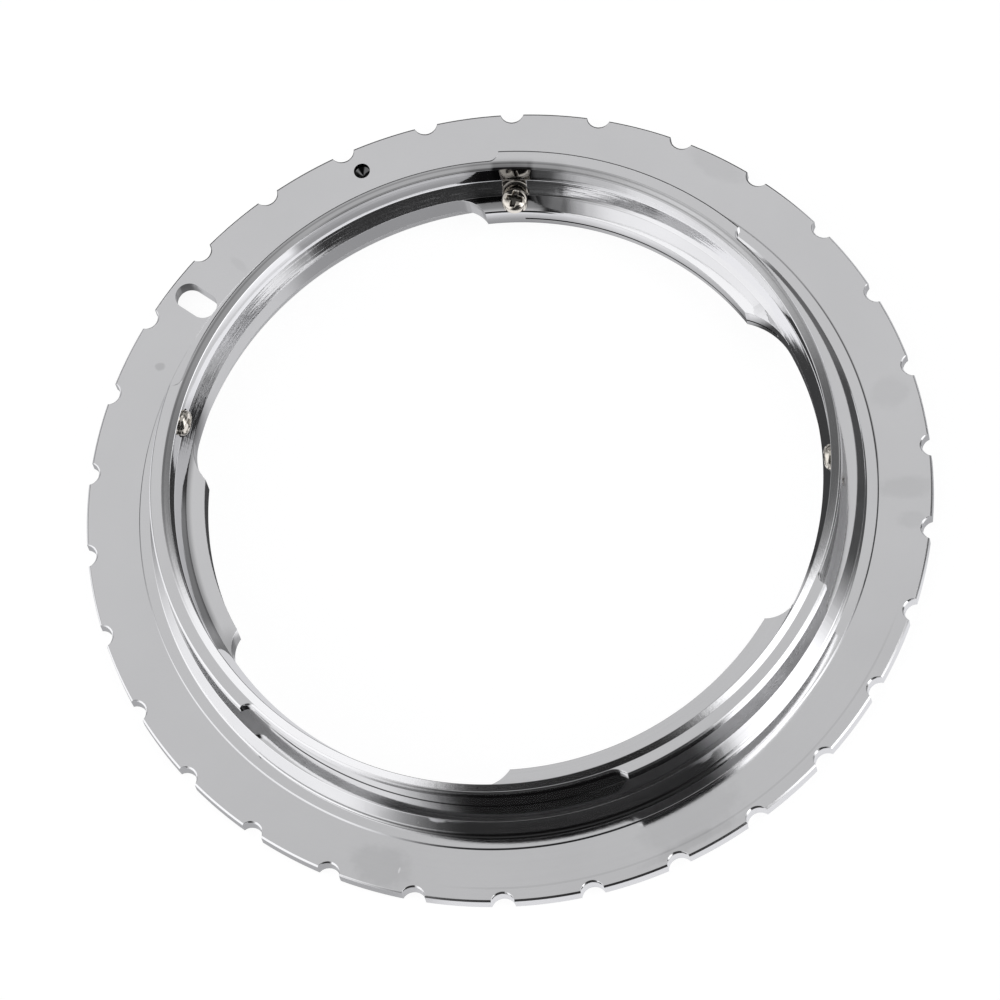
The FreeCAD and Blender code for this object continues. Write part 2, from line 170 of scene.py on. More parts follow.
class AdapterMilling(bpy.types.PropertyGroup):
    """Notches, lugs, tabs, slit and holes cut into the turned ring."""

    notch_count: IntProperty(name="Notches", description="Grip notches in the flange", default=30)
    notch_start: angle("First notch", "Angle of the first notch", 8.12)
    notch_cutter: length("Notch cutter radius", "Round cutter that makes a notch", 0.92)
    notch_depth: length("Notch depth", "From the flange's edge inwards", 0.65)
    collar_radius: length("Collar radius", "Floor of the gaps between the lugs", 25.6)
    lug_radius: length("Lug radius", "Outside of the three lugs", 26.35)
    tab_recess_radius: length("Tab recess radius", "Floor of the gaps between the tabs", 24.0)
    tab_radius: length("Tab radius", "Inside of the three tabs", 22.6)
    slit_depth: length("Slit depth", "Saw slit in the first tab", 1.2)
    slit_level: length("Slit level", "Height of the middle of the slit", 2.65)
    slit_width: length("Slit width", "Thickness of the saw", 0.22)
    slit_end: angle("Slit end", "Where the slit stops, beside the tension screw", 88.8)
    tab_lift: length("Tab lift", "Rise of the slit tab's inner edge", 0.18)
    scallop_radius: length("Scallop radius", "Round cutter that clears the screw head", 1.7)
    scallop_reach: length("Scallop reach", "Outer end of the dents in the bore's edge", 24.87)
    pocket_angle: angle("Pocket angle", "Pocket in the cone, for the tension screw's head", 90.6)
    pocket_radius: length("Pocket radius", "Round cutter of the pocket", 1.05)
    pocket_reach: length("Pocket reach", "Outer end of the pocket", 24.5)
    slot_angle: angle("Slot angle", "Lock slot in the flange", 146.35)
    slot_half_width: length("Slot half width", "Half the width of the lock slot", 1.04)
    slot_near: length("Slot near centre", "Inner end of the lock slot's centre line", 28.97)
    slot_far: length("Slot far centre", "Outer end of the lock slot's centre line", 30.39)
    index_angle: angle("Index angle", "Drilled index mark in the flange", 114.7)
    index_distance: length("Index distance", "Index mark's distance from the axis", 30.0)
    index_radius: length("Index radius", "Radius of the index mark", 0.62)
    index_depth: length("Index depth", "Straight depth of the index mark", 0.6)


# Each pair is where a cutter stops before a gap between two lugs and after it, with its radius
LUG_GAPS = (
    ((94.6, 0.8), (162.7, 0.8)),
    ((227.5, 0.8), (291.25, 1.5)),
    ((341.75, 0.8), (407.4, 0.8)),
)
# The same for the recesses between the tabs
TAB_GAPS = (
    ((101.9, 2.4), (170.0, 4.2)),
    ((216.3, 2.4), (267.5, 2.9)),
    ((337.9, 2.4), (388.6, 5.3)),
)
SCALLOP_ANGLES = (88.9, 91.7)


def smooth_step(low, high, values):
    """0 below low, 1 above high, and a smooth S between them: 3 t squared - 2 t cubed."""
    share = np.clip((values - low) / (high - low), 0.0, 1.0)
    return share * share * (3.0 - 2.0 * share)


def cut_outside(theta, floor, cutter, stop):
    """Radius left by a round cutter that stops at an angle, with its tip on the floor radius.

    The cutter's middle is at floor + cutter. Along a ray at angle d from it, the near side of
    the circle is at c cos d - sqrt(r squared - (c sin d) squared). Rays that miss it give infinity.
    """
    middle = floor + cutter
    away = theta - stop
    reach = cutter**2 - (middle * np.sin(away)) ** 2
    near = middle * np.cos(away) - np.sqrt(np.maximum(reach, 0.0))
    return np.where((reach > 0.0) & (np.cos(away) > 0.0), near, np.inf)


def cut_inside(theta, floor, cutter, stop):
    """Radius left by a round cutter inside the ring, with its tip on the floor radius.

    The far side of the circle is at c cos d + sqrt(r squared - (c sin d) squared), with its
    middle at c = floor - cutter. Rays that miss it give nothing.
    """
    middle = floor - cutter
    away = theta - stop
    reach = cutter**2 - (middle * np.sin(away)) ** 2
    far = middle * np.cos(away) + np.sqrt(np.maximum(reach, 0.0))
    return np.where((reach > 0.0) & (np.cos(away) > 0.0), far, 0.0)


def within(theta, first, last):
    """True where an angle lies between two others, counted onwards from the first."""
    return np.mod(theta - first, 2.0 * math.pi) <= last - first


def corner_angle(middle, cutter, radius):
    """Angle from a cutter's middle to where its circle meets a radius, by the cosine rule."""
    cosine = (middle**2 + radius**2 - cutter**2) / (2.0 * middle * radius)
    return math.acos(cosine)


def notch_edge(theta, section, milling):
    """Outer edge of the flange: its circle, bitten by a ring of equal round notches."""
    pitch = 2.0 * math.pi / milling.notch_count
    local = np.mod(theta - milling.notch_start + pitch / 2.0, pitch) - pitch / 2.0
    floor = section.flange_radius - milling.notch_depth
    return np.minimum(section.flange_radius, cut_outside(local, floor, milling.notch_cutter, 0.0))


def lug_edge(theta, milling):
    """Outer edge of the bayonet: lugs, with round-ended gaps down to the collar."""
    edge = np.full_like(theta, milling.lug_radius)
    for (first, first_cutter), (last, last_cutter) in LUG_GAPS:
        first, last = math.radians(first), math.radians(last)
        edge = np.minimum(edge, cut_outside(theta, milling.collar_radius, first_cutter * MM, first))
        edge = np.minimum(edge, cut_outside(theta, milling.collar_radius, last_cutter * MM, last))
        edge = np.where(within(theta, first, last), milling.collar_radius, edge)
    return edge


def tab_edge(theta, milling):
    """Inner edge of the lip: tabs, with round-ended recesses out to the recess radius."""
    floor = milling.tab_recess_radius
    edge = np.full_like(theta, milling.tab_radius)
    for (first, first_cutter), (last, last_cutter) in TAB_GAPS:
        first, last = math.radians(first), math.radians(last)
        edge = np.maximum(edge, cut_inside(theta, floor, first_cutter * MM, first))
        edge = np.maximum(edge, cut_inside(theta, floor, last_cutter * MM, last))
        edge = np.where(within(theta, first, last), floor, edge)
    return edge


def ring_angles(section, milling):
    """Angles of the ring's columns: even steps, with more of them round each cut."""
    even = np.arange(0.0, TURN, EVEN_STEP)
    notch_middle = section.flange_radius - milling.notch_depth + milling.notch_cutter
    mouth = math.degrees(corner_angle(notch_middle, milling.notch_cutter, section.flange_radius))
    bite = np.array(NOTCH_COLUMNS)
    bite = np.concatenate([-bite[:0:-1], bite]) * mouth
    numbers = np.arange(milling.notch_count)
    starts = math.degrees(milling.notch_start) + numbers * TURN / milling.notch_count
    stacks = [even, (starts[:, None] + bite[None, :]).ravel()]
    for gaps, floor, edge, side in (
        (LUG_GAPS, milling.collar_radius, milling.lug_radius, 1.0),
        (TAB_GAPS, milling.tab_recess_radius, milling.tab_radius, -1.0),
    ):
        for ends in gaps:
            for (stop, cutter), outward in zip(ends, (-1.0, 1.0)):
                sweep = corner_angle(floor + side * cutter * MM, cutter * MM, edge)
                sweep = outward * math.degrees(sweep)
                spread = 1.0 - np.linspace(0.0, 1.0, END_COLUMNS) ** 2
                stacks.append(stop + sweep * spread)
                stacks.append(np.array([stop + sweep + outward * END_STEP]))
    low, high = min(SCALLOP_ANGLES) - DENT_MARGIN, max(SCALLOP_ANGLES) + DENT_MARGIN
    stacks.append(np.linspace(low, high, DENT_COLUMNS))
    slit_end = math.degrees(milling.slit_end)
    stacks.append(np.array([slit_end - SLIT_END_STEP, slit_end + SLIT_END_STEP]))
    angles = np.unique(np.round(np.mod(np.concatenate(stacks), TURN), ANGLE_DIGITS))
    return np.radians(angles)


FLAT, WALL, EDGE, UNDERSIDE, BORE, LIP = range(6)


def ring_section(theta, section, milling):
    """Corners of the ring's section at every angle: radii, heights, rounding and finish.

    The list goes once round the section, outwards along the lens face, up the outside and
    down the bore. Each finish is that of the strip from its corner to the next one.
    """
    flange = notch_edge(theta, section, milling)
    lug = lug_edge(theta, milling)
    tab = tab_edge(theta, milling)
    bore_top = np.full_like(theta, section.bore_top_radius)
    for degrees in SCALLOP_ANGLES:
        bore_top = np.maximum(bore_top, cut_inside(
            theta, milling.scallop_reach, milling.scallop_radius, math.radians(degrees)))
    pocket = cut_inside(theta, milling.pocket_reach, milling.pocket_radius, milling.pocket_angle)
    cove_foot = np.maximum(milling.tab_recess_radius, pocket)
    slit_floor = milling.tab_radius + milling.slit_depth
    slit_start = math.radians(TAB_GAPS[-1][1][0] - TURN)
    sawn = within(theta, slit_start, milling.slit_end)
    slit = np.where(sawn, np.maximum(tab, slit_floor), tab)
    slit_top = milling.slit_level + milling.slit_width / 2.0
    slit_bottom = milling.slit_level - milling.slit_width / 2.0
    seat_level = section.flange_thickness + section.seat_height
    bore_level = section.rim_level - section.rim_bevel_drop
    last = milling.slit_end
    free = smooth_step(slit_start, slit_start + LIFT_REACH, theta)
    free = free * (1.0 - smooth_step(last - LIFT_REACH, last, theta))
    tab_top = section.lip_top_level + milling.tab_lift * free
    chamfer = section.edge_break
    soft, wide = section.corner, section.bore_corner
    mouth = section.lens_recess_radius + section.lens_recess_chamfer
    return [
        (mouth, 0.0, soft, UNDERSIDE),
        (flange - chamfer, 0.0, soft, EDGE),
        (flange, chamfer, soft, EDGE),
        (flange, section.flange_thickness - chamfer, soft, EDGE),
        (flange - chamfer, section.flange_thickness, soft, FLAT),
        (section.seat_foot_radius, section.flange_thickness, 0.0, WALL),
        (section.seat_radius, seat_level, soft, FLAT),
        (section.spigot_radius + section.spigot_root, seat_level, 0.0, WALL),
        (section.spigot_radius, seat_level + section.spigot_root, 0.0, WALL),
        (section.spigot_radius, section.spigot_taper_level, soft, WALL),
        (section.spigot_top_radius, section.spigot_top_level, soft, FLAT),
        (section.neck_radius, section.spigot_top_level, soft, WALL),
        (section.neck_radius, section.lug_level, 0.0, UNDERSIDE),
        (lug, section.lug_level, soft, WALL),
        (lug, section.rim_level - chamfer, soft, EDGE),
        (lug - chamfer, section.rim_level, soft, FLAT),
        (section.rim_bevel_radius, section.rim_level, soft, FLAT),
        (bore_top, bore_level, wide, BORE),
        (section.bore_foot_radius, section.lip_top_level + section.cove_height, wide, BORE),
        (cove_foot, section.lip_top_level, soft, LIP),
        (tab, tab_top, soft, LIP),
        (tab, slit_top, 0.0, LIP),
        (slit, slit_top, 0.0, LIP),
        (slit, slit_bottom, 0.0, LIP),
        (tab, slit_bottom, 0.0, LIP),
        (tab, section.lip_under_level, soft, UNDERSIDE),
        (section.lens_recess_radius, section.lip_under_level, soft, UNDERSIDE),
        (section.lens_recess_radius, section.lens_recess_chamfer, soft, UNDERSIDE),
    ]


def rounded_section(theta, corners):
    """Each rounded corner becomes three points: a short curve between its two sides.

    The curve is a parabola: its ends lie on the sides, at the rounding's width or a share of
    the side, whichever is less, and its middle is a quarter of each end plus half the corner.
    """
    count = len(corners)
    points = np.empty((count, theta.size, 2))
    for index, (radius, height, _, _) in enumerate(corners):
        points[index, :, 0] = radius
        points[index, :, 1] = height
    rows, finishes = [], []
    for index, (_, _, width, finish) in enumerate(corners):
        here = points[index]
        if width == 0.0:
            rows.append(here)
            finishes.append(finish)
            continue
        ends = []
        for other in (points[index - 1], points[(index + 1) % count]):
            side = other - here
            span = np.linalg.norm(side, axis=1, keepdims=True)
            share = np.minimum(width, ROUNDING_SHARE * span) / np.maximum(span, 1e-12)
            ends.append(here + side * share)
        middle = 0.25 * ends[0] + 0.5 * here + 0.25 * ends[1]
        rows.extend([ends[0], middle, ends[1]])
        finishes.extend([finish, finish, finish])
    return np.array(rows), finishes


def grid_mesh(name, points, closed_rows=False):
    """A surface from a grid of points [row, column], closed round its columns.

    With closed rows the last row joins the first, which makes a ring of section.
    """
    row_count, column_count = points.shape[:2]
    index = np.arange(row_count * column_count).reshape(row_count, column_count)
    along = np.roll(index, -1, axis=1)
    up = np.roll(index, -1, axis=0)
    across = np.roll(up, -1, axis=1)
    strips = row_count if closed_rows else row_count - 1
    faces = np.stack([index, along, across, up], axis=2)[:strips].reshape(-1, 4)
    mesh = bpy.data.meshes.new(name)
    mesh.from_pydata(points.reshape(-1, 3), [], faces.tolist())
    mesh.update()
    return mesh


def ring_mesh(name, section, milling):
    """The ring as a grid: one column for each angle, one row for each point of the section."""
    theta = ring_angles(section, milling)
    rows, finishes = rounded_section(theta, ring_section(theta, section, milling))
    radius, height = rows[:, :, 0], rows[:, :, 1]
    points = np.stack([radius * np.cos(theta), radius * np.sin(theta), height], axis=2)
    mesh = grid_mesh(name, points, closed_rows=True)
    mesh.polygons.foreach_set("material_index", np.repeat(finishes, theta.size))
    return mesh


def turned_points(profile, steps):
    """A profile of (radius, height) pairs carried round the Z axis."""
    around = np.linspace(0.0, 2.0 * math.pi, steps, endpoint=False)
    radius = np.array([pair[0] for pair in profile])[:, None]
    height = np.array([pair[1] for pair in profile])[:, None]
    shape = (len(profile), steps)
    return np.stack([
        radius * np.cos(around), radius * np.sin(around), np.broadcast_to(height, shape),
    ], axis=2)


def moved(points, matrix):
    """Points turned and shifted by a four by four matrix."""
    matrix = np.array(matrix)
    return points @ matrix[:3, :3].T + matrix[:3, 3]


def along_radius(level, degrees):
    """Takes +Z to the radius at an angle round the ring, at a height."""
    turn = Matrix.Rotation(degrees, 4, "Z") @ Matrix.Rotation(math.pi / 2.0, 4, "Y")
    return Matrix.Translation((0.0, 0.0, level)) @ turn


def upright(distance, degrees, level):
    """Stands +Z upright at a distance and an angle round the ring."""
    return Matrix.Rotation(degrees, 4, "Z") @ Matrix.Translation((distance, 0.0, level))


def link(mesh, name):
    """A new object with a mesh, in the scene."""
    piece = bpy.data.objects.new(name, mesh)
    bpy.context.scene.collection.objects.link(piece)
    return piece


def merge_doubles(mesh):
    """Joins points that lie together and drops the faces that they close."""
    work = bmesh.new()
    work.from_mesh(mesh)
    bmesh.ops.remove_doubles(work, verts=work.verts, dist=WELD)
    bmesh.ops.dissolve_degenerate(work, edges=work.edges, dist=WELD)
    work.to_mesh(mesh)
    work.free()


def joined(meshes, name):
    """Several meshes as one."""
    work = bmesh.new()
    for mesh in meshes:
        merge_doubles(mesh)
        work.from_mesh(mesh)
    whole = bpy.data.meshes.new(name)
    work.to_mesh(whole)
    work.free()
    return whole


def read(items, name, shape, kind=float):
    """One property of all the items of a mesh, as an array."""
    values = np.empty(int(np.prod(shape)), dtype=kind)
    items.foreach_get(name, values)
    return values.reshape(shape)


def weigh_normals(mesh):
    """Smooth shading in which a wide face keeps its own normal right up to a narrow rounding.

    The normal at a corner of a face is the sum of the normals of the faces round that point
    that lie within the smooth angle of it, each weighed by the square of its area.
    """
    faces, corners = len(mesh.polygons), len(mesh.loops)
    normal = read(mesh.polygons, "normal", (faces, 3))
    area = read(mesh.polygons, "area", (faces,))
    sides = read(mesh.polygons, "loop_total", (faces,), int)
    vertex = read(mesh.loops, "vertex_index", (corners,), int)
    order = np.argsort(vertex, kind="stable")
    face = np.repeat(np.arange(faces), sides)[order]
    count = np.bincount(vertex, minlength=len(mesh.vertices))
    start = np.cumsum(count) - count
    shared, first = count[vertex[order]], start[vertex[order]]
    rank = np.arange(corners) - first
    total = np.zeros((corners, 3))
    for step in range(int(count.max())):
        other = face[first + (rank + step) % shared]
        near = np.einsum("ij,ij->i", normal[face], normal[other]) > math.cos(SMOOTH_ANGLE)
        weight = np.where(near & (step < shared), (area[other] / area.max()) ** 2, 0.0)
        total += weight[:, None] * normal[other]
    total /= np.linalg.norm(total, axis=1, keepdims=True)
    result = np.empty_like(total)
    result[order] = total
    mesh.polygons.foreach_set("use_smooth", np.ones(faces, dtype=bool))
    mesh.set_sharp_from_angle(angle=SMOOTH_ANGLE)
    mesh.normals_split_custom_set(result.tolist())


def obround_points(milling, bottom, top):
    """A slot cutter: a stadium round its centre line, with a floor and a lid.

    Its outline steps round a half circle at the far centre and another at the near one.
    """
    around = np.linspace(-math.pi / 2.0, 1.5 * math.pi, SLOT_STEPS, endpoint=False)
    centre = np.where(around < math.pi / 2.0, milling.slot_far, milling.slot_near)
    half_width = milling.slot_half_width
    outline = np.stack(
        [centre + half_width * np.cos(around), half_width * np.sin(around)], axis=1)
    middle = np.array([(milling.slot_far + milling.slot_near) / 2.0, 0.0])
    rows = []
    for share, height in ((0.0, bottom), (1.0, bottom), (1.0, top), (0.0, top)):
        flat = middle + share * (outline - middle)
        rows.append(np.column_stack([flat, np.full(len(flat), height)]))
    return np.array(rows)


def cutter_meshes(section, milling, screws):
    """Solid cutters for the lock slot, the index mark and the screws' seats and tapped holes."""
    seat_level = section.flange_thickness + section.seat_height
    slot = obround_points(milling, -section.flange_thickness, seat_level + section.flange_thickness)
    yield grid_mesh("slot_cutter", moved(slot, Matrix.Rotation(milling.slot_angle, 4, "Z")))

    floor = section.flange_thickness - milling.index_depth
    tip = floor - milling.index_radius / math.tan(DRILL_POINT / 2.0)
    lid = section.flange_thickness + milling.index_depth
    drill = turned_points([
        (0.0, tip), (milling.index_radius, floor), (milling.index_radius, lid), (0.0, lid),
    ], DRILL_STEPS)
    yield grid_mesh(
        "index_cutter", moved(drill, upright(milling.index_distance, milling.index_angle, 0.0)))

    hole = screws.hole_radius
    below, above = section.lip_under_level - hole, section.lip_top_level + hole
    tapped = turned_points(
        [(0.0, below), (hole, below), (hole, above), (0.0, above)], HOLE_STEPS)
    place = upright(screws.tension_distance, screws.tension_angle, 0.0)
    yield grid_mesh("tension_cutter", moved(tapped, place))

    face, end = screws.stop_seat_radius, section.neck_radius + section.edge_break
    start = section.tab_recess_gap
    stepped = turned_points([
        (0.0, start), (screws.spot_face_radius, start), (screws.spot_face_radius, face),
        (hole, face), (hole, end), (0.0, end),
    ], DRILL_STEPS)
    for number, stop_angle in enumerate((screws.stop_angle_1, screws.stop_angle_2), start=1):
        yield grid_mesh(
            f"stop_cutter_{number}", moved(stepped, along_radius(screws.stop_level, stop_angle)))


def screw_points(shank, screws):
    """A pan-head screw from its point at Z = 0 up to its head, and how far its cross is sunk.

    The points are one grid from pole to pole, and the second grid goes from 0 to 1. The head
    is a superellipse, r = R sin(a) to the 2/n and z = H cos(a) to the 2/n. The cross is sunk
    into it along two arms, each a smooth band across and a slope to its ends. The shank's
    radius swings with z / pitch - turn / 360, which winds one thread round it.
    """
    around = np.linspace(0.0, 2.0 * math.pi, SCREW_STEPS, endpoint=False)[None, :]
    arc = np.linspace(0.0, math.pi / 2.0, HEAD_ROWS)[::-1, None]
    power = 2.0 / HEAD_SQUARENESS
    head_radius = screws.head_radius * np.sin(arc) ** power * np.ones_like(around)
    head_height = shank + screws.head_height * np.cos(arc) ** power * np.ones_like(around)
    x, y = np.abs(head_radius * np.cos(around)), np.abs(head_radius * np.sin(around))
    half_width, half_length = screws.cross_width / 2.0, screws.cross_length / 2.0
    floor_edge, top_edge = (share * half_width for share in CROSS_WALL)
    slope_start = CROSS_SLOPE * half_length
    across = [1.0 - smooth_step(floor_edge, top_edge, side) for side in (y, x)]
    reach = [1.0 - smooth_step(slope_start, half_length, side) for side in (x, y)]
    sunk = np.maximum(across[0] * reach[0], across[1] * reach[1])
    head_height = head_height - screws.cross_depth * sunk

    rise = np.linspace(screws.point_chamfer, shank, SHANK_ROWS)[:, None]
    wave = 0.5 - 0.5 * np.cos(2.0 * math.pi * rise / screws.thread_pitch - around)
    shank_radius = screws.hole_radius - screws.clearance - screws.thread_depth * wave
    tip_radius = screws.hole_radius - screws.clearance - screws.point_chamfer
    ones = np.ones_like(around)
    radius = np.concatenate([0.0 * ones, tip_radius * ones, shank_radius, head_radius])
    height = np.concatenate([0.0 * ones, 0.0 * ones, rise * ones, head_height])
    points = np.stack([radius * np.cos(around), radius * np.sin(around), height], axis=2)
    return points, np.concatenate([np.zeros((len(radius) - len(sunk), SCREW_STEPS)), sunk])


class AdapterScrews(bpy.types.PropertyGroup):
    """The three small screws and where they sit."""

    head_radius: length("Head radius", "Outside of a screw's head", 0.99)
    head_height: length("Head height", "Height of a screw's head", 0.65)
    hole_radius: length("Hole radius", "Tapped hole for a screw", 0.5)
    clearance: length("Clearance", "Between a shank and its hole", 0.02)
    point_chamfer: length("Point chamfer", "Chamfer at a screw's point", 0.12)
    thread_pitch: length("Thread pitch", "Rise of one turn of the thread", 0.25)
    thread_depth: length("Thread depth", "Depth of the thread", 0.07)
    cross_width: length("Cross width", "Width of each arm of the cross", 0.36)
    cross_length: length("Cross length", "Length of the cross from end to end", 1.5)
    cross_depth: length("Cross depth", "Depth of the cross", 0.35)
    tension_angle: angle("Tension screw angle", "Axial screw on the first tab", 90.6)
    tension_turn: angle("Tension cross turn", "How the cross lies on the tension screw", -12.0)
    tension_distance: length("Tension distance", "Tension screw's distance from the axis", 23.45)
    tension_shank: length("Tension shank", "Length of the tension screw's shank", 1.7)
    stop_angle_1: angle("Stop screw 1 angle", "Radial screw at the left", 169.4)
    stop_angle_2: angle("Stop screw 2 angle", "Radial screw at the right", 4.0)
    stop_level: length("Stop level", "Height of the radial screws", 5.5)
    stop_seat_radius: length("Stop seat", "Flat that a radial head sits on", 24.83)
    stop_end_radius: length("Stop end", "Where a radial screw's point ends", 25.2)
    spot_face_radius: length("Spot-face radius", "Cutter for the radial seats", 1.1)


class Nodes:
    """Adds nodes to a tree with short calls, and gives back their outputs."""

    def __init__(self, tree):
        self.tree = tree

    def add(self, kind, settings=None, **inputs):
        """A node of a kind with its settings, and its inputs from values or outputs."""
        node = self.tree.nodes.new(kind)
        for key, value in (settings or {}).items():
            setattr(node, key, value)
        for key, value in inputs.items():
            self.feed(node.inputs[key.replace("_", " ")], value)
        return node

    def feed(self, socket, value):
        """An input takes a link from an output, or a plain value."""
        if isinstance(value, bpy.types.NodeSocket):
            self.tree.links.new(value, socket)
        else:
            socket.default_value = value

    def math(self, operation, *values):
        """One step of arithmetic."""
        node = self.add("ShaderNodeMath", {"operation": operation})
        for socket, value in zip(node.inputs, values):
            self.feed(socket, value)
        return node.outputs[0]

    def ramp(self, value, low, high, start=0.0, end=1.0):
        """A smooth S from start at low to end at high."""
        node = self.add(
            "ShaderNodeMapRange", {"interpolation_type": "SMOOTHSTEP"}, Value=value,
            From_Min=low, From_Max=high, To_Min=start, To_Max=end)
        return node.outputs["Result"]

    def blend(self, factor, first, second):
        """From the first number to the second as the factor goes from 0 to 1."""
        node = self.add("ShaderNodeMix", {"data_type": "FLOAT"})
        for index, value in ((0, factor), (2, first), (3, second)):
            self.feed(node.inputs[index], value)
        return node.outputs[0]

    def span(self, x, y):
        """Length of a flat vector: the root of x squared plus y squared."""
        squares = [self.math("MULTIPLY", side, side) for side in (x, y)]
        return self.math("SQRT", self.math("ADD", *squares))

    def away(self, turn, middle):
        """Angle between a direction and a middle, either way round, from 0 to a half turn."""
        return self.math("ABSOLUTE", self.math(
            "WRAP", self.math("SUBTRACT", turn, middle), math.pi, -math.pi))

    def noise(self, position, pattern):
        """Noise from 0 to 1 with the scale, detail and roughness of a pattern."""
        scale, detail, roughness = pattern
        return self.add(
            "ShaderNodeTexNoise", Vector=position, Scale=scale, Detail=detail,
            Roughness=roughness).outputs[0]


# Stains and painted light on the flange: angle, distance from the axis, half sizes along and across
# the radius, how much light they take away. A negative one is a bright spot: the one at 257.4
# degrees is a painted highlight. The one at 300 degrees is a painted dark reflection across the
# flange.
FLANGE_STAINS_AND_PAINTED_LIGHT = (
    (158.0, 29.3, 0.4, 0.35, 0.16),
    (254.6, 30.3, 1.7, 2.6, 0.1),
    # A painted highlight: a bright spot on the flange
    (257.4, 30.3, 0.28, 0.1, -0.35),
    (299.0, 31.1, 0.5, 4.6, 0.09),
    # A painted dark reflection across the flange
    (300.0, 29.4, 2.2, 4.4, 0.07),
    (62.0, 31.2, 1.0, 2.6, 0.06),
    (17.0, 29.8, 1.7, 1.5, 0.05),
    (2.0, 30.0, 2.2, 1.0, 0.07),
    (357.0, 30.6, 1.2, 0.8, 0.06),
    (138.0, 29.0, 1.0, 0.4, 0.05),
)
# Painted shade in the hole of the index mark and at the outer end of the lock slot, laid out in the
# same way
PAINTED_HOLE_SHADE = (
    (114.7, 30.0, 1.1, 1.1, 0.86),
    (146.3, 31.1, 1.5, 1.7, 0.7),
)
# Painted shade and painted dark reflections along turned corners: radius, height, reach, depth,
# then the first and last angle. The narrow ones are painted shade in the corners and along the
# edges, and the one at the flange's foot is a painted contact shadow. Those with a reach of 0.75 or
# more are broad patches of painted dark reflection, which the lights alone don't give there.
PAINTED_CORNER_SHADE_AND_REFLECTIONS = (
    (27.0, 1.8, 0.24, 0.75, 224.0, 308.0),
    (25.25, 3.3, 0.06, 0.85, 226.0, 292.0),
    (25.25, 3.3, 0.05, 0.6, 341.0, 366.0),
    (22.6, 3.87, 0.12, 0.9, 82.0, 98.0),
    (24.2, 5.2, 2.4, 0.34, 80.0, 99.5),
    (24.85, 6.0, 1.3, 0.36, 86.5, 94.5),
    (24.1, 4.9, 2.0, 0.25, 208.0, 246.0),
    (23.5, 3.87, 0.8, 0.3, 83.0, 98.5),
    (24.3, 4.4, 0.95, 0.5, 162.0, 212.0),
    (25.8, 5.9, 0.75, 0.8, 246.0, 314.0),
    (25.28, 6.98, 0.15, 0.35, 20.0, 215.0),
    (24.8, 6.84, 0.22, 0.4, 40.0, 132.0),
    (27.94, 1.4, 0.16, 0.5, 2.0, 62.0),
    (32.0, 0.0, 0.2, 0.6, 205.0, 264.0),
    (30.95, 1.3, 0.1, 0.09, 262.0, 345.0),
)


class AdapterFinish(bpy.types.PropertyGroup):
    """Colours and gloss of the plated ring and the nickel screws."""

    plate: colour("Plate", "Chrome plate, a nearly neutral metal", (0.86, 0.86, 0.865))
    nickel: colour("Nickel", "Screws, a slightly warm metal", (0.80, 0.755, 0.68))
    flat_gloss: number("Flat roughness", "Roughness of the ground flat faces", 0.07)
    wall_gloss: number("Wall roughness", "Roughness of the turned walls", 0.05)
    edge_gloss: number("Edge roughness", "Roughness of the broken edges", 0.16)
    under_gloss: number("Underside roughness", "Roughness of the lens side", 0.45)
    screw_gloss: number("Screw roughness", "Roughness of the screws", 0.16)
    line_tilt: number("Line tilt", "Strength of the turned lines", 0.35)
    grain_tilt: number("Grain tilt", "Strength of the fine grain", 0.2)


# Platings in the order of FLAT to LIP: name, its roughness above, share of the turned lines and the
# stains and painted light on it
PLATINGS = (
    ("plate_flat", "flat_gloss", 0.15, FLANGE_STAINS_AND_PAINTED_LIGHT),
    ("plate_wall", "wall_gloss", 0.4, ()),
    ("plate_edge", "edge_gloss", 0.0, ()),
    ("plate_underside", "under_gloss", 0.5, ()),
    ("plate_bore", "wall_gloss", 0.6, PAINTED_HOLE_SHADE),
    ("plate_lip", "flat_gloss", 0.3, ()),
)
# Noise patterns: scale (for the lines, per millimetre), detail and roughness
STAIN_AND_PAINTED_LIGHT_RIPPLE = (700.0, 4.0, 0.65)
TURNED_LINES = (2.6, 3.0, 0.6)
FINE_GRAIN = (4000.0, 4.0, 0.7)
CLOUDS = (110.0, 5.0, 0.6)
# How far the lines wander per radian, and the height of the lines and of the grain
LINE_DRIFT = 0.6
LINE_HEIGHT = 0.02 * MM
GRAIN_HEIGHT = 0.004 * MM
# Where the clouds pass from low to high, and what the roughness is multiplied by at each end
GLOSS_CLOUDS = (0.3, 0.7)
GLOSS_SHARES = (0.75, 1.3)
# The same for the plate's brightness
SHADE_CLOUDS = (0.25, 0.75)
SHADE_SHARES = (0.955, 1.0)
# Each stain and painted spot fades in from its edge to its core, as shares of its half size
STAIN_AND_PAINTED_LIGHT_FADE = (1.15, 0.55)
# A painted corner shade is full within these shares of its reach and of its half sweep
CORNER_SHADE_CORE = 0.6
CORNER_SHADE_SWEEP_CORE = 0.75
# Painted shade in the sunk cross of a screw's head, then the least brightness that the plate's
# colour keeps
CROSS_PAINTED_SHADE = 0.85
DARKEST = 0.02


def stain_and_painted_light_cover(nodes, position, stains_and_painted_light):
    """How much light the stains, painted shade and painted reflections take at a point, and a
    painted highlight gives: soft, uneven ellipses on a flat face.
    """
    ripple = nodes.noise(position, STAIN_AND_PAINTED_LIGHT_RIPPLE)
    total = 0.0
    for degrees, distance, along, across, depth in stains_and_painted_light:
        turn = math.radians(degrees)
        mapping = nodes.add(
            "ShaderNodeMapping", {"vector_type": "TEXTURE"}, Vector=position,
            Location=(distance * MM * math.cos(turn), distance * MM * math.sin(turn), 0.0),
            Rotation=(0.0, 0.0, turn), Scale=(along * MM, across * MM, 1.0))
        x, y, _ = nodes.add("ShaderNodeSeparateXYZ", Vector=mapping.outputs[0]).outputs
        reach = nodes.math("ADD", nodes.span(x, y), nodes.math("SUBTRACT", ripple, 0.5))
        total = nodes.math("ADD", total, nodes.ramp(reach, *STAIN_AND_PAINTED_LIGHT_FADE, 0.0, depth))
    return total


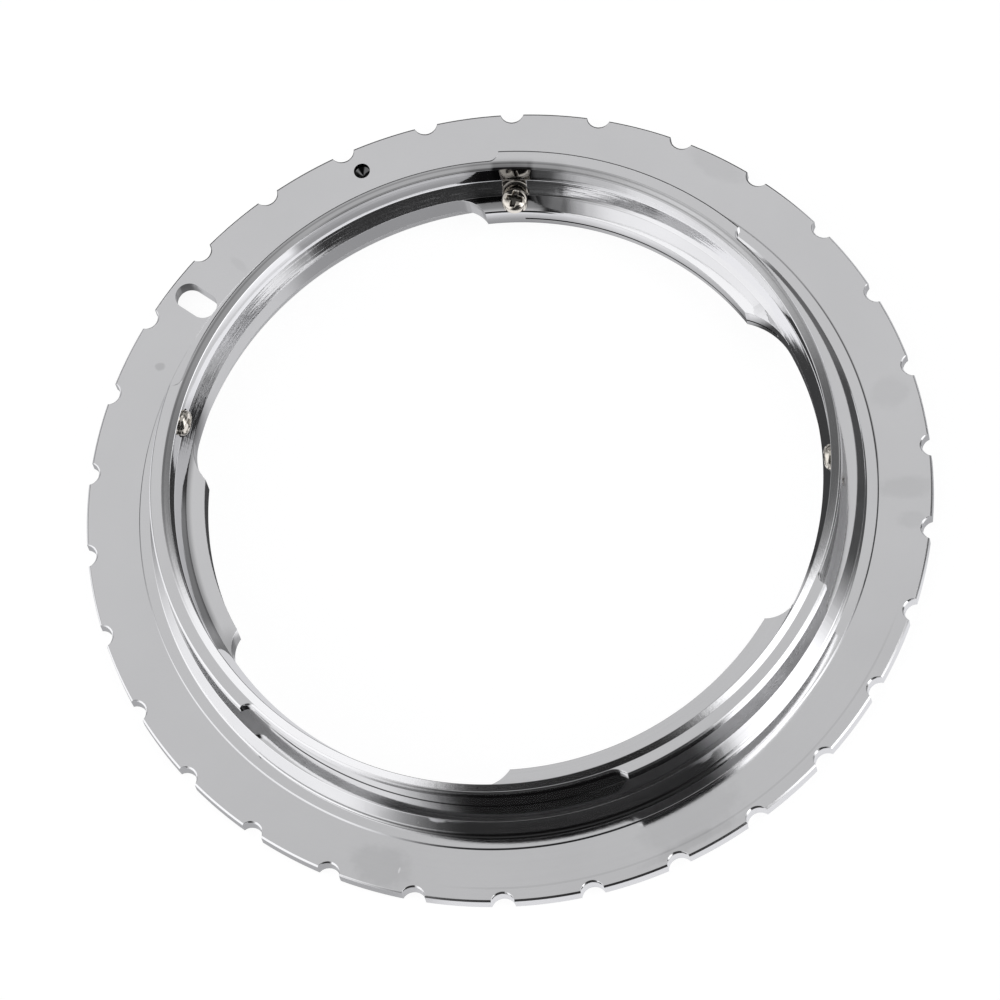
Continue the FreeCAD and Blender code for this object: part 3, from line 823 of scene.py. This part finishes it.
def painted_corner_shade_cover(nodes, radius, height, turn):
    """How much light the painted shade and painted dark reflections along the turned corners take
    at a point.
    """
    total = 0.0
    for corner_radius, corner_height, reach, depth, first, last in PAINTED_CORNER_SHADE_AND_REFLECTIONS:
        out = nodes.math("SUBTRACT", radius, corner_radius * MM)
        up = nodes.math("SUBTRACT", height, corner_height * MM)
        gap = nodes.span(out, up)
        middle, half = math.radians((first + last) / 2.0), math.radians((last - first) / 2.0)
        cover = nodes.math(
            "MULTIPLY", nodes.ramp(gap, reach * MM, CORNER_SHADE_CORE * reach * MM, 0.0, depth),
            nodes.ramp(nodes.away(turn, middle), half, CORNER_SHADE_SWEEP_CORE * half))
        total = nodes.math("ADD", total, cover)
    return total


def plated(name, finish, gloss, lines, grain, tint=None, stains_and_painted_light=()):
    """A plated, turned metal: lines round the axis, fine grain, uneven gloss, faint stains and
    painted light.

    The lines come from noise over the distance from the axis and the height, which hardly changes
    along the circle. The painted light is painted shade in corners, holes and a screw's cross,
    painted dark reflections and a painted highlight. All sizes are in the object's own space.
    """
    material = bpy.data.materials.new(name)
    material.use_nodes = True
    nodes = Nodes(material.node_tree)
    shader = material.node_tree.nodes["Principled BSDF"]
    position = nodes.add("ShaderNodeTexCoord").outputs["Object"]
    x, y, z = nodes.add("ShaderNodeSeparateXYZ", Vector=position).outputs
    radius = nodes.span(x, y)
    turn = nodes.math("ARCTAN2", y, x)
    track = nodes.add(
        "ShaderNodeCombineXYZ", X=nodes.math("MULTIPLY", radius, 1.0 / MM),
        Y=nodes.math("MULTIPLY", z, 1.0 / MM), Z=nodes.math("MULTIPLY", turn, LINE_DRIFT))
    turned = nodes.noise(track.outputs[0], TURNED_LINES)
    fine = nodes.noise(position, FINE_GRAIN)
    cloud = nodes.noise(position, CLOUDS)
    line_bump = nodes.add("ShaderNodeBump", Height=turned, Strength=lines, Distance=LINE_HEIGHT)
    grain_bump = nodes.add(
        "ShaderNodeBump", Height=fine, Strength=grain, Distance=GRAIN_HEIGHT,
        Normal=line_bump.outputs[0])
    rough = nodes.ramp(cloud, *GLOSS_CLOUDS, *(gloss * share for share in GLOSS_SHARES))
    shade = nodes.ramp(cloud, *SHADE_CLOUDS, *SHADE_SHARES)
    # Stains, with a painted highlight, a painted dark reflection and painted shade in holes among
    # them
    if stains_and_painted_light:
        shade = nodes.math("SUBTRACT", shade, stain_and_painted_light_cover(nodes, position, stains_and_painted_light))
    if tint is None:
        # Painted shade in the corners and painted dark reflections on the ring
        shade = nodes.math("SUBTRACT", shade, painted_corner_shade_cover(nodes, radius, z, turn))
    else:
        # Painted shade in the sunk cross of a screw's head
        sunk = nodes.add("ShaderNodeAttribute", {"attribute_name": "sunk"}).outputs["Fac"]
        shade = nodes.math("SUBTRACT", shade, nodes.math("MULTIPLY", sunk, CROSS_PAINTED_SHADE))
    shade = nodes.math("MAXIMUM", shade, DARKEST)
    scaled = nodes.add("ShaderNodeVectorMath", {"operation": "SCALE"}, Scale=shade)
    scaled.inputs[0].default_value = tint or finish.plate
    nodes.feed(shader.inputs["Base Color"], scaled.outputs[0])
    nodes.feed(shader.inputs["Roughness"], rough)
    nodes.feed(shader.inputs["Normal"], grain_bump.outputs[0])
    shader.inputs["Metallic"].default_value = 1.0
    return material


class ADAPTER_OT_make_ring(bpy.types.Operator):
    """Make the one-piece ring: turned section, milled outlines, slot, holes and finish"""

    bl_idname = "adapter.make_ring"
    bl_label = "Make ring"

    def execute(self, context):
        section, milling = context.scene.adapter_section, context.scene.adapter_milling
        mesh = ring_mesh("ring_turned", section, milling)
        merge_doubles(mesh)
        finish = context.scene.adapter_finish
        for name, gloss, share, stains_and_painted_light in PLATINGS:
            mesh.materials.append(plated(
                name, finish, getattr(finish, gloss), share * finish.line_tilt,
                finish.grain_tilt, stains_and_painted_light=stains_and_painted_light))
        ring = link(mesh, "ring")
        cutters = joined(
            list(cutter_meshes(section, milling, context.scene.adapter_screws)), "ring_cutters")
        cutters.materials.append(mesh.materials[BORE])
        tool = link(cutters, "ring_cutters")
        cut = ring.modifiers.new("Cuts", "BOOLEAN")
        cut.operation = "DIFFERENCE"
        cut.solver = "EXACT"
        cut.material_mode = "TRANSFER"
        cut.object = tool
        depsgraph = context.evaluated_depsgraph_get()
        finished = bpy.data.meshes.new_from_object(ring.evaluated_get(depsgraph))
        ring.modifiers.clear()
        ring.data = finished
        bpy.data.objects.remove(tool)
        weigh_normals(finished)
        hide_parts("adapter_ring")
        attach(ring, "root")
        return {"FINISHED"}


class ADAPTER_OT_make_screws(bpy.types.Operator):
    """Make the tension screw and the two stop screws"""

    bl_idname = "adapter.make_screws"
    bl_label = "Make screws"

    def execute(self, context):
        section, screws = context.scene.adapter_section, context.scene.adapter_screws
        finish = context.scene.adapter_finish
        nickel = plated(
            "nickel", finish, finish.screw_gloss, 0.0, finish.grain_tilt, tint=finish.nickel)
        turn = Matrix.Rotation(screws.tension_turn, 4, "Z")
        foot = section.lip_top_level - screws.tension_shank
        place = upright(screws.tension_distance, screws.tension_angle, foot) @ turn
        places = {"tension_screw": (screws.tension_shank, place)}
        flip = Matrix.Rotation(math.pi, 4, "Y")
        stop_shank = screws.stop_end_radius - screws.stop_seat_radius
        for name, degrees in (
            ("stop_screw_1", screws.stop_angle_1), ("stop_screw_2", screws.stop_angle_2),
        ):
            outward = along_radius(screws.stop_level, degrees)
            place = outward @ Matrix.Translation((0.0, 0.0, screws.stop_end_radius)) @ flip
            places[name] = (stop_shank, place)
        for name, (shank, place) in places.items():
            points, sunk = screw_points(shank, screws)
            mesh = grid_mesh(name + "_turned", moved(points, place))
            mesh.attributes.new("sunk", "FLOAT", "POINT").data.foreach_set("value", sunk.ravel())
            merge_doubles(mesh)
            mesh.polygons.foreach_set("use_smooth", np.ones(len(mesh.polygons), dtype=bool))
            mesh.set_sharp_from_angle(angle=SCREW_SMOOTH_ANGLE)
            mesh.materials.append(nickel)
            piece = link(mesh, name + "_dressed")
            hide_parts(name)
            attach(piece, "root")
        return {"FINISHED"}


class AdapterView(bpy.types.PropertyGroup):
    """Where the camera stands, as seen from the ring."""

    target_x: length("Target X", "Point on the table in the middle of the view", -0.73)
    target_y: length("Target Y", "Point on the table in the middle of the view", 0.54)
    azimuth: angle("Azimuth", "Direction of the camera from the ring", -71.49)
    elevation: angle("Elevation", "Height of the camera above the table", 66.51)
    roll: angle("Roll", "Turn of the camera about its own line of sight", 17.07)
    distance: length("Distance", "Camera to the middle of the view", 616.57)
    lens: FloatProperty(name="Lens", description="Focal length in millimetres", default=294.8)
    sensor: FloatProperty(name="Sensor", description="Sensor width in millimetres", default=36.0)


def camera_matrix(view):
    """The camera looks at its target from an azimuth and an elevation, then rolls."""
    across = math.cos(view.elevation)
    back = Vector((
        across * math.cos(view.azimuth), across * math.sin(view.azimuth), math.sin(view.elevation)))
    level_right = Vector((0.0, 0.0, 1.0)).cross(back).normalized()
    level_up = back.cross(level_right)
    right = level_right * math.cos(view.roll) - level_up * math.sin(view.roll)
    up = back.cross(right)
    place = Vector((view.target_x, view.target_y, 0.0)) + back * view.distance
    return Matrix.Translation(place) @ Matrix((right, up, back)).transposed().to_4x4()


# Panels and dark gaps round the ring: azimuth, half width, lowest and highest elevation,
# softness sideways and up (all in degrees), then the linear light. Later ones cover earlier
# ones, and the sky is what none of them covers.
LIGHT_PANELS = (
    (100.5, 25.0, 57.0, 72.0, 8.0, 14.0, 0.625),
    (110.0, 85.0, 78.0, 86.0, 20.0, 6.0, 0.45),
    (58.0, 17.0, 60.0, 70.0, 8.0, 6.0, 0.17),
    (138.0, 8.0, 52.0, 63.0, 6.0, 4.0, 0.12),
    (35.0, 40.0, -90.0, 50.0, 8.0, 8.0, 0.085),
    (52.0, 26.0, 10.0, 26.0, 8.0, 6.0, 0.45),
    (75.0, 22.0, 36.0, 52.0, 8.0, 8.0, 0.17),
    (140.0, 20.0, -90.0, 50.0, 8.0, 8.0, 0.26),
    (170.0, 24.0, 60.0, 77.0, 10.0, 10.0, 0.85),
    (204.0, 39.0, -90.0, 72.0, 34.0, 20.0, 1.15),
    (338.5, 18.5, -90.0, 50.0, 34.0, 8.0, 1.7),
    (5.0, 32.0, 50.0, 76.0, 8.0, 8.0, 1.6),
    (270.0, 26.0, -90.0, 66.0, 28.0, 8.0, 0.03),
    (300.0, 19.5, -90.0, 66.0, 10.0, 8.0, 0.03),
    (263.0, 37.0, 62.0, 80.0, 35.0, 8.0, 0.012),
    (304.5, 34.0, 60.0, 80.0, 8.0, 16.0, 0.012),
    (88.5, 11.0, 46.0, 62.0, 5.0, 4.0, 1.08),
    (122.0, 5.0, 46.0, 58.0, 3.0, 3.0, 1.5),
    (107.5, 8.0, 40.0, 57.0, 3.0, 4.0, 0.02),
    (112.0, 40.0, -12.0, 14.0, 8.0, 6.0, 0.04),
    (0.0, 190.0, 87.0, 100.0, 8.0, 2.0, 0.8),
)
SKY = 0.33
LIGHT_TINT = (1.0, 1.0, 1.015)


def studio_world():
    """A studio round the ring: bright panels and dark gaps laid out by azimuth and elevation."""
    world = bpy.data.worlds.new("studio")
    world.use_nodes = True
    nodes = Nodes(world.node_tree)
    background = world.node_tree.nodes["Background"]
    direction = nodes.add("ShaderNodeTexCoord").outputs["Generated"]
    x, y, z = nodes.add("ShaderNodeSeparateXYZ", Vector=direction).outputs
    azimuth = nodes.math("ARCTAN2", y, x)
    elevation = nodes.math("ARCSINE", z)
    light = SKY
    for *extent, level in LIGHT_PANELS:
        middle, half, low, high, side_soft, up_soft = (math.radians(value) for value in extent)
        inside = nodes.ramp(
            nodes.away(azimuth, middle), half + side_soft / 2.0, half - side_soft / 2.0)
        above = nodes.ramp(elevation, low - up_soft / 2.0, low + up_soft / 2.0)
        below = nodes.ramp(elevation, high + up_soft / 2.0, high - up_soft / 2.0)
        cover = nodes.math("MULTIPLY", inside, nodes.math("MULTIPLY", above, below))
        light = nodes.blend(cover, light, level)
    seen = nodes.add("ShaderNodeLightPath").outputs["Is Camera Ray"]
    nodes.feed(background.inputs["Strength"], nodes.blend(seen, light, 1.0))
    background.inputs["Color"].default_value = (*LIGHT_TINT, 1.0)
    return world


# The table that only the metal sees, in patches unlike the plain white one that the camera
# sees: azimuth, half width and softness in degrees, nearest and farthest distance in
# millimetres, the linear light, then the gloss. Later ones cover earlier ones.
TABLE_CARDS = (
    (180.0, 125.0, 10.0, 5.0, 21.0, 1.0, 0.0),
    # Painted shadow of the ring on the table under it
    (0.0, 190.0, 2.0, 21.4, 31.2, 0.32, 0.2),
    (205.0, 30.0, 10.0, 23.2, 31.2, 0.8, 0.0),
    (0.0, 190.0, 2.0, 31.2, 33.4, 0.44, 0.0),
    (307.0, 46.0, 10.0, 31.2, 33.0, 0.82, 0.0),
    (0.0, 190.0, 2.0, 55.0, 9000.0, 0.75, 0.3),
    (100.0, 48.0, 10.0, 33.0, 9000.0, 0.06, 0.0),
    (285.0, 24.0, 8.0, 33.0, 60.0, 0.03, 0.0),
    (285.0, 40.0, 8.0, 55.0, 9000.0, 0.03, 0.0),
    (28.0, 38.0, 8.0, 3.0, 19.0, 0.05, 0.0),
    # Painted shadow of the ring on the table beside its left tab
    (187.0, 24.0, 10.0, 21.2, 23.2, 0.06, 0.0),
    (15.0, 30.0, 10.0, 22.0, 25.0, 0.06, 0.0),
    (141.0, 12.0, 3.0, 19.0, 22.0, 1.08, 0.0),
)
# The rest of the table as the metal sees it, and the blur of a card's edge in millimetres
TABLE_LEVEL = 0.47
TABLE_SHINE = 0.5
TABLE_ROUGHNESS = 0.12
TABLE_TINT = (0.97, 0.97, 1.0, 1.0)
CARD_BLUR = 0.4
# The table as the camera sees it: its own white, and the grey on which a shadow shows
TABLE_WHITE = 0.92
SHADOW_GREY = (0.16, 0.16, 0.16, 1.0)


def floor_mesh():
    """A flat square just under the ring."""
    low, half = -FLOOR_GAP, FLOOR_SIZE / 2.0
    mesh = bpy.data.meshes.new("floor")
    mesh.from_pydata(
        [(-half, -half, low), (half, -half, low), (half, half, low), (-half, half, low)],
        [], [(0, 1, 2, 3)])
    return mesh


def table_material():
    """A table that is white with a faint shadow to the camera, and in patches to the metal."""
    material = bpy.data.materials.new("table")
    material.use_nodes = True
    tree = material.node_tree
    tree.nodes.remove(tree.nodes["Principled BSDF"])
    nodes = Nodes(tree)
    path = nodes.add("ShaderNodeLightPath").outputs
    x, y, z = nodes.add(
        "ShaderNodeSeparateXYZ", Vector=nodes.add("ShaderNodeTexCoord").outputs["Object"]).outputs
    turn = nodes.math("ARCTAN2", y, x)
    distance = nodes.span(x, y)
    level, shine = TABLE_LEVEL, TABLE_SHINE
    for middle, half, soft, near, far, card_level, card_shine in TABLE_CARDS:
        cover = nodes.ramp(
            nodes.away(turn, math.radians(middle)),
            math.radians(half + soft / 2.0), math.radians(half - soft / 2.0))
        for edge, blur in ((near, CARD_BLUR), (far, -CARD_BLUR)):
            edge_cover = nodes.ramp(distance, (edge - blur) * MM, (edge + blur) * MM)
            cover = nodes.math("MULTIPLY", cover, edge_cover)
        level = nodes.blend(cover, level, card_level)
        shine = nodes.blend(cover, shine, card_shine)
    seen = nodes.add("ShaderNodeEmission", Strength=TABLE_WHITE)
    shadow = nodes.add("ShaderNodeBsdfDiffuse", Color=SHADOW_GREY)
    pale = nodes.add("ShaderNodeEmission", Color=TABLE_TINT, Strength=level)
    tone = nodes.add("ShaderNodeCombineXYZ", X=shine, Y=shine, Z=shine).outputs[0]
    gloss = nodes.add("ShaderNodeBsdfGlossy", Color=tone, Roughness=TABLE_ROUGHNESS)
    to_camera = nodes.add("ShaderNodeAddShader")
    to_metal = nodes.add("ShaderNodeAddShader")
    for pair, parts in ((to_camera, (seen, shadow)), (to_metal, (pale, gloss))):
        for socket, part in zip(pair.inputs, parts):
            tree.links.new(part.outputs[0], socket)
    mirrored = nodes.math("MAXIMUM", path["Is Glossy Ray"], path["Is Transmission Ray"])
    choice = nodes.add("ShaderNodeMixShader", Fac=mirrored)
    tree.links.new(to_camera.outputs[0], choice.inputs[1])
    tree.links.new(to_metal.outputs[0], choice.inputs[2])
    tree.links.new(choice.outputs[0], tree.nodes["Material Output"].inputs["Surface"])
    return material


class ADAPTER_OT_make_stage(bpy.types.Operator):
    """Make the pale floor, the studio light and the camera"""

    bl_idname = "adapter.make_stage"
    bl_label = "Make stage"

    def execute(self, context):
        view = context.scene.adapter_view
        camera_data = bpy.data.cameras.new("camera")
        camera_data.lens = view.lens
        camera_data.sensor_width = view.sensor
        camera_data.sensor_fit = "HORIZONTAL"
        camera_data.clip_end = CLIP_END
        camera = bpy.data.objects.new("camera", camera_data)
        context.scene.collection.objects.link(camera)
        camera.matrix_world = camera_matrix(view)
        context.scene.camera = camera

        floor = link(floor_mesh(), "floor")
        floor.data.materials.append(table_material())
        context.scene.world = studio_world()
        context.scene.view_settings.view_transform = "Standard"
        return {"FINISHED"}


class ADAPTER_PT_panel(bpy.types.Panel):
    """Buttons of the adapter"""

    bl_label = "Lens mount adapter"
    bl_idname = "ADAPTER_PT_panel"
    bl_space_type = "VIEW_3D"
    bl_region_type = "UI"
    bl_category = "Adapter"

    def draw(self, context):
        column = self.layout.column()
        for operator in OPERATORS:
            column.operator(operator.bl_idname)


OPERATORS = (ADAPTER_OT_make_ring, ADAPTER_OT_make_screws, ADAPTER_OT_make_stage)
GROUPS = {
    "adapter_section": AdapterSection,
    "adapter_milling": AdapterMilling,
    "adapter_screws": AdapterScrews,
    "adapter_finish": AdapterFinish,
    "adapter_view": AdapterView,
}


def register():
    """Make the operators, the panel and the scene's settings known."""
    for group in GROUPS.values():
        bpy.utils.register_class(group)
    for name, group in GROUPS.items():
        setattr(bpy.types.Scene, name, PointerProperty(type=group))
    for operator in OPERATORS:
        bpy.utils.register_class(operator)
    bpy.utils.register_class(ADAPTER_PT_panel)


def unregister():
    """Undo what register did."""
    bpy.utils.unregister_class(ADAPTER_PT_panel)
    for operator in reversed(OPERATORS):
        bpy.utils.unregister_class(operator)
    for name, group in reversed(GROUPS.items()):
        delattr(bpy.types.Scene, name)
        bpy.utils.unregister_class(group)


def main():
    """Build the scene in order."""
    register()
    bpy.ops.adapter.make_ring()
    bpy.ops.adapter.make_screws()
    bpy.ops.adapter.make_stage()


if __name__ == "__main__":
    main()
